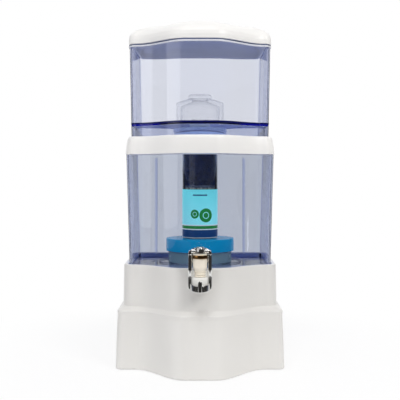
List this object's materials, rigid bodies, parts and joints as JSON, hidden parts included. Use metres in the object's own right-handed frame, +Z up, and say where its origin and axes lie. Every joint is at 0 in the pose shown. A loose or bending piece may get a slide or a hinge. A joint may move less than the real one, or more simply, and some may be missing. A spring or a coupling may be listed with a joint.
{
  "type": "gravity water filter with tap",
  "caption": "Tall gravity water filter: clear tinted upper and lower tanks with bowed fronts, white lid, cover and two-tier stand, hanging filter cartridge and a chrome lever tap.",
  "frame": {"origin": "bottom centre of the whole object, on the surface it stands on", "axes": "+Z up, +X to the right as seen from the tap side, the tap and the bowed fronts face -Y"},
  "size_m": [0.262, 0.2776, 0.543],
  "materials": {
    "lid_white": "gloss",
    "stand_white": "gloss",
    "tinted_clear": "gloss",
    "shell_clear": "gloss",
    "frosted_clear": "satin",
    "case_blue": "gloss",
    "case_smoke": "gloss",
    "carbon": "rough",
    "zeolite": "rough",
    "sand": "rough",
    "ceramic_balls": "matt",
    "felt": "matt",
    "sleeve_print": "satin",
    "cap_navy": "gloss",
    "inner_plastic": "matt",
    "seal_rubber": "matt",
    "black_rubber": "matt",
    "stones": "polished",
    "tap_ivory": "gloss",
    "tap_white": "gloss",
    "bronze": "satin",
    "chrome": "mirror",
    "steel": "satin"
  },
  "bodies": {
    "stand": {"base_stand": "stand_white", "rubber_feet": "black_rubber"},
    "lower": {"lower_tank": "tinted_clear", "case_body": "case_smoke", "mineral_stones": "stones", "tap_body": "tap_ivory", "spout_bell": "tap_white", "tap_ring": "bronze", "tap_bonnet": "chrome", "bonnet_cap": "chrome", "stem_packing": "black_rubber", "valve_spring": "steel", "outer_washer": "black_rubber", "inner_washer": "black_rubber", "lock_nut": "tap_white"},
    "cover": {"middle_cover": "lid_white"},
    "upper": {"upper_tank": "tinted_clear"},
    "lid": {"lid": "lid_white"},
    "prefilter": {"prefilter_plate": "frosted_clear", "prefilter_gasket": "seal_rubber", "prefilter_dome": "frosted_clear", "prefilter_cap": "frosted_clear"},
    "cartridge": {"cartridge_cap": "cap_navy", "cartridge_seal": "seal_rubber", "cartridge_shell": "shell_clear", "carbon_bed": "carbon", "zeolite_bed": "zeolite", "sand_bed": "sand", "ceramic_bed": "ceramic_balls", "media_pads": "felt", "cartridge_end": "inner_plastic", "cartridge_label": "sleeve_print"},
    "case_lid": {"case_lid": "case_blue"},
    "lever": {"tap_lever": "chrome", "lever_pin": "steel"},
    "stem": {"valve_stem": "inner_plastic", "valve_seal": "black_rubber"}
  },
  "joints": [
    {"name": "lower_tank_lift", "type": "slide", "parent": "stand", "child": "lower", "axis": [0, 0, 1], "range_m": [0, 0.04]},
    {"name": "cover_lift", "type": "slide", "parent": "lower", "child": "cover", "axis": [0, 0, 1], "range_m": [0, 0.04]},
    {"name": "upper_tank_lift", "type": "slide", "parent": "cover", "child": "upper", "axis": [0, 0, 1], "range_m": [0, 0.2]},
    {"name": "lid_lift", "type": "slide", "parent": "upper", "child": "lid", "axis": [0, 0, 1], "range_m": [0, 0.06]},
    {"name": "prefilter_turn", "type": "hinge", "parent": "upper", "child": "prefilter", "pos_m": [0, 0.03576, 0.3845], "axis": [0, 0, 1], "continuous": true},
    {"name": "cartridge_turn", "type": "hinge", "parent": "upper", "child": "cartridge", "pos_m": [0, 0.03576, 0.373], "axis": [0, 0, 1], "continuous": true},
    {"name": "case_lid_twist", "type": "hinge", "parent": "lower", "child": "case_lid", "pos_m": [0, 0.03576, 0.1943], "axis": [0, 0, 1], "range_deg": [0, 60]},
    {"name": "lever_swing", "type": "hinge", "parent": "lower", "child": "lever", "pos_m": [0, -0.12046, 0.1887], "axis": [-1, 0, 0], "range_deg": [0, 36], "stiffness_Nm_per_rad": 0.0038, "springref_deg": -27.73},
    {"name": "stem_lift", "type": "slide", "parent": "lower", "child": "stem", "axis": [0, 0, 1], "range_m": [0, 0.0013], "deforming": ["valve_spring"]}
  ],
  "couplings": [
    {"joint": "stem_lift", "follows": "lever_swing", "m_per_rad": 0.0020657}
  ]
}
